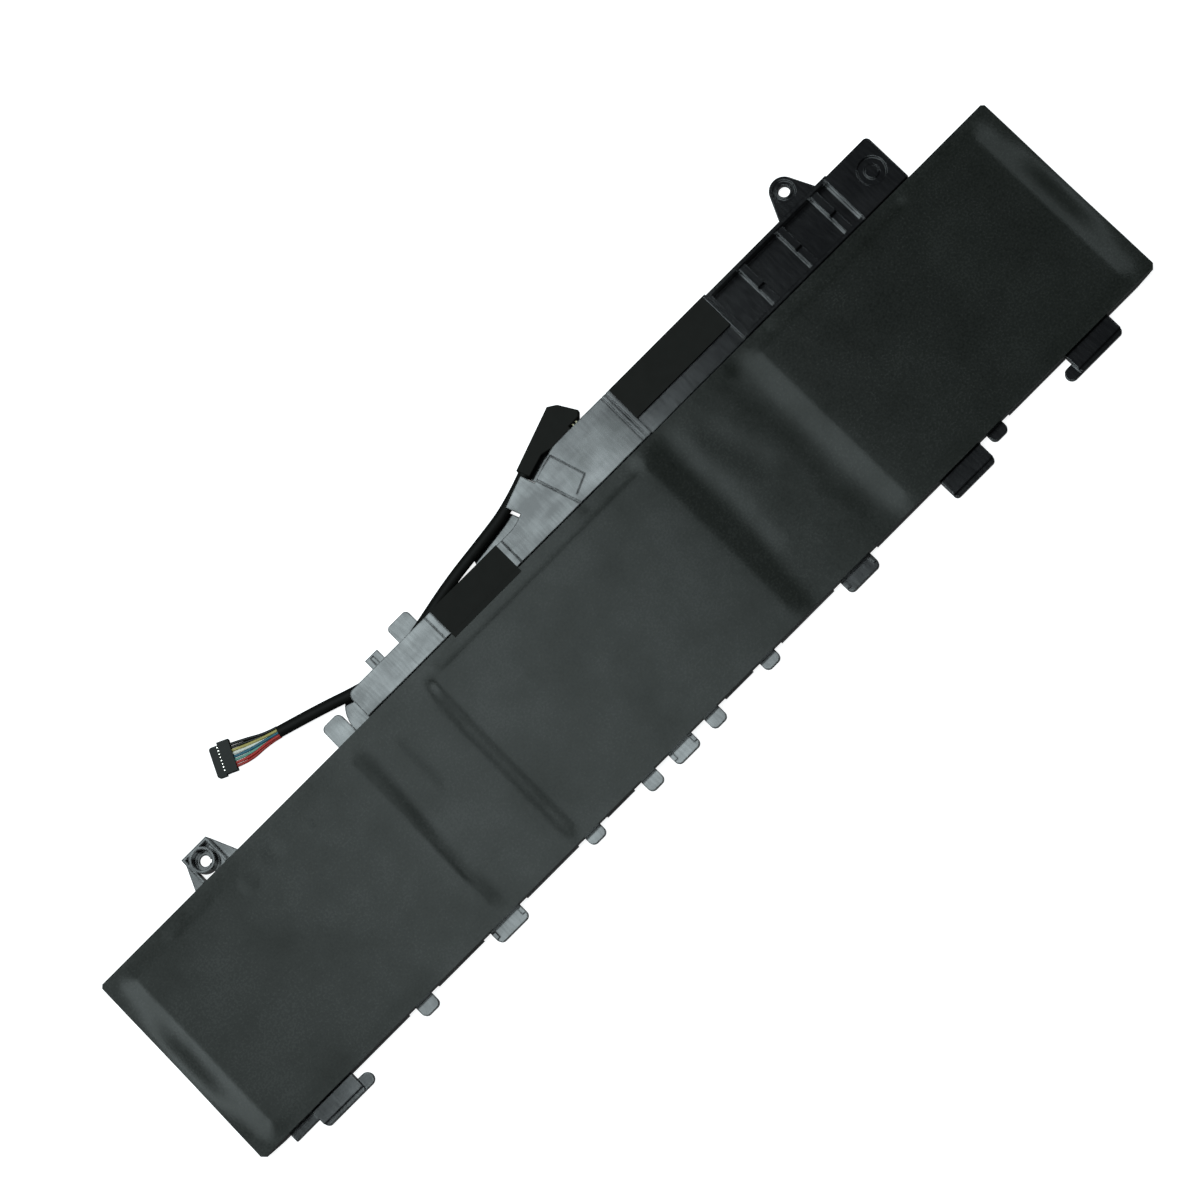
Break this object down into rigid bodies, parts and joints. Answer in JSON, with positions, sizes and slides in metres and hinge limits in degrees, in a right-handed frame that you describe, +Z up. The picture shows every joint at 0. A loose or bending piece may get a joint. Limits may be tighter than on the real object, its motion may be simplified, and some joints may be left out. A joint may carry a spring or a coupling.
{
  "type": "laptop battery",
  "caption": "Flat internal laptop battery: pouch cells in a plastic frame under matte film, with an electronics housing, screw ears, locating tabs and a short lead with a plug.",
  "frame": {"origin": "centre of the box of the pack without its lead, on the surface it lies on", "axes": "+X along the pack, +Y across it towards the electronics housing, +Z up from the hidden side"},
  "size_m": [0.302, 0.0874, 0.0056],
  "materials": {
    "frame_black": "glossy moulded black",
    "wrap_film": "matte black film",
    "under_film": "matte black film",
    "tape_black": "matte black tape",
    "pad_black": "matte black pad",
    "cell_foil": "dull silver laminate foil",
    "cell_glue": "pale adhesive strip",
    "tab_metal": "plain strip",
    "link_nickel": "plain nickel strip",
    "board_green": "solder mask",
    "chip_black": "moulded chip",
    "fuse_white": "ceramic body",
    "shunt_metal": "flat metal resistor",
    "bead_black": "epoxy bead on a flat leg",
    "sleeve_black": "dull black sleeve",
    "wire_black": "wire insulation",
    "wire_yellow": "wire insulation",
    "wire_white": "wire insulation",
    "wire_blue": "wire insulation",
    "wire_green": "wire insulation",
    "wire_red": "wire insulation",
    "joint_metal": "tinned wire ends",
    "plug_black": "dull black plug",
    "contact_metal": "plated contacts"
  },
  "bodies": {
    "root": {"frame": "frame_black", "top_film": "wrap_film", "bottom_film": "under_film", "housing_film": "under_film", "duct_tape": "tape_black", "root_tape": "tape_black", "housing_pad": "pad_black", "cell_left": "cell_foil", "glue_left": "cell_glue", "tab_left_positive": "tab_metal", "link_left_positive": "link_nickel", "tab_left_negative": "tab_metal", "link_left_negative": "link_nickel", "cell_middle": "cell_foil", "glue_middle": "cell_glue", "tab_middle_positive": "tab_metal", "link_middle_positive": "link_nickel", "tab_middle_negative": "tab_metal", "link_middle_negative": "link_nickel", "cell_right": "cell_foil", "glue_right": "cell_glue", "tab_right_positive": "tab_metal", "link_right_positive": "link_nickel", "tab_right_negative": "tab_metal", "link_right_negative": "link_nickel", "board": "board_green", "gauge_chip": "chip_black", "protector_chip": "chip_black", "switch_left": "chip_black", "switch_right": "chip_black", "fuse": "fuse_white", "shunt": "shunt_metal", "thermistor": "bead_black", "wire_joints": "joint_metal", "lead_sleeve": "sleeve_black", "connector_body": "plug_black", "contacts": "contact_metal", "wire_1": "wire_black", "wire_2": "wire_black", "wire_3": "wire_yellow", "wire_4": "wire_white", "wire_5": "wire_blue", "wire_6": "wire_green", "wire_7": "wire_red", "wire_8": "wire_red"}
  },
  "joints": []
}
